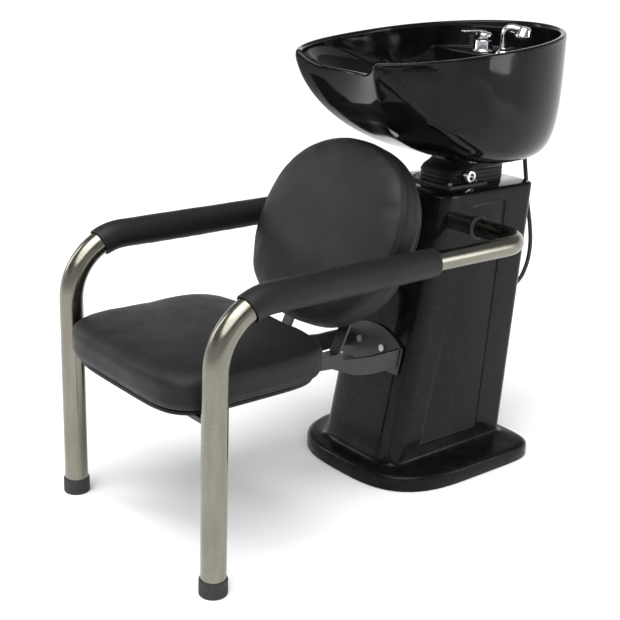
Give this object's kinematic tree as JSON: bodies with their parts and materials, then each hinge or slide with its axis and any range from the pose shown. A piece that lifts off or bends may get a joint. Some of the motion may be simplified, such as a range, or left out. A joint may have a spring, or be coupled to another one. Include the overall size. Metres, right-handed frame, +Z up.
{
  "type": "shampoo sink with chair",
  "caption": "Salon backwash unit: a tilting black basin with mixer and hand spray on a pedestal, with a fixed padded arm chair on bent steel tube legs.",
  "frame": {"origin": "centre of the pedestal foot on the floor", "axes": "+X to the left of the person in the chair, -Y towards the front of the chair, +Z up"},
  "size_m": [0.592, 1.182, 1.0178],
  "materials": {
    "gloss_shell": "moulded glass fibre, polished black gelcoat",
    "basin_glaze": "black glazed basin",
    "steel_tube": "satin stainless tube",
    "chrome": "polished chrome plating",
    "dark_steel": "black powder coated steel",
    "leather": "black upholstery vinyl",
    "rubber": "black rubber",
    "dark_plastic": "dark moulded plastic",
    "braid": "braided hose",
    "board": "plywood board"
  },
  "bodies": {
    "frame": {"pedestal_shell": "gloss_shell", "rear_access_panel": "gloss_shell", "access_panel_screws": "chrome", "base_plate": "dark_steel", "support_post": "dark_steel", "arm_socket_tube": "dark_steel", "deck_bracket": "dark_steel", "deck_screws": "chrome", "tilt_pin": "chrome", "waste_hose": "rubber", "waste_outlet": "dark_plastic", "spray_hose": "rubber", "column_grommet": "rubber", "hot_hose": "braid", "cold_hose": "braid", "hot_inlet": "chrome", "cold_inlet": "chrome", "left_front_leg": "steel_tube", "right_front_leg": "steel_tube", "left_rear_arm": "steel_tube", "right_rear_arm": "steel_tube", "left_arm_bush": "dark_plastic", "right_arm_bush": "dark_plastic", "left_arm_pad": "leather", "right_arm_pad": "leather", "left_arm_collar": "rubber", "right_arm_collar": "rubber", "left_foot_cap": "rubber", "right_foot_cap": "rubber", "front_crossbar": "dark_steel", "crossbar_bolts": "chrome", "seat_rails": "dark_steel", "rail_yokes": "dark_steel", "seat_board": "board", "seat_cushion": "leather", "seat_screws": "chrome", "back_board": "board", "back_cushion": "leather", "back_struts": "dark_steel", "back_bolts": "chrome", "bracket_plate": "dark_steel", "bracket_bolts": "chrome"},
    "basin": {"basin_saddle": "dark_steel", "saddle_screws": "chrome", "basin_bowl": "basin_glaze", "drain_flange": "chrome", "drain_gasket": "rubber", "drain_nut": "chrome", "tailpiece": "dark_plastic", "mixer_body": "chrome", "mixer_nut": "chrome", "spray_holder": "chrome", "basin_grommet": "rubber"},
    "lock_knob": {"tilt_lock_knob": "chrome"},
    "strainer": {"drain_strainer": "chrome"},
    "mixer_cap": {"mixer_cap": "chrome"},
    "mixer_lever": {"mixer_lever": "chrome"},
    "hand_spray": {"spray_head": "chrome", "spray_face": "dark_plastic"}
  },
  "joints": [
    {"name": "basin_tilt", "type": "hinge", "parent": "frame", "child": "basin", "pos_m": [0, 0.068, 0.684], "axis": [-1, 0, 0], "range_deg": [0, 12], "deforming": ["waste_hose", "spray_hose", "hot_hose", "cold_hose"]},
    {"name": "lock_knob_turn", "type": "hinge", "parent": "frame", "child": "lock_knob", "pos_m": [0, 0.068, 0.684], "axis": [1, 0, 0], "range_deg": [-180, 180]},
    {"name": "strainer_lift", "type": "slide", "parent": "basin", "child": "strainer", "axis": [0, 0, 1], "range_m": [0, 0.03]},
    {"name": "mixer_turn", "type": "hinge", "parent": "basin", "child": "mixer_cap", "pos_m": [-0.052, 0.214, 0.9723], "axis": [0, 0, 1], "range_deg": [-50, 50]},
    {"name": "mixer_lift", "type": "hinge", "parent": "mixer_cap", "child": "mixer_lever", "pos_m": [-0.052, 0.214, 0.9833], "axis": [-1, 0, 0], "range_deg": [0, 25]},
    {"name": "spray_lift", "type": "slide", "parent": "basin", "child": "hand_spray", "axis": [0, 0, 1], "range_m": [0, 0.06]}
  ]
}
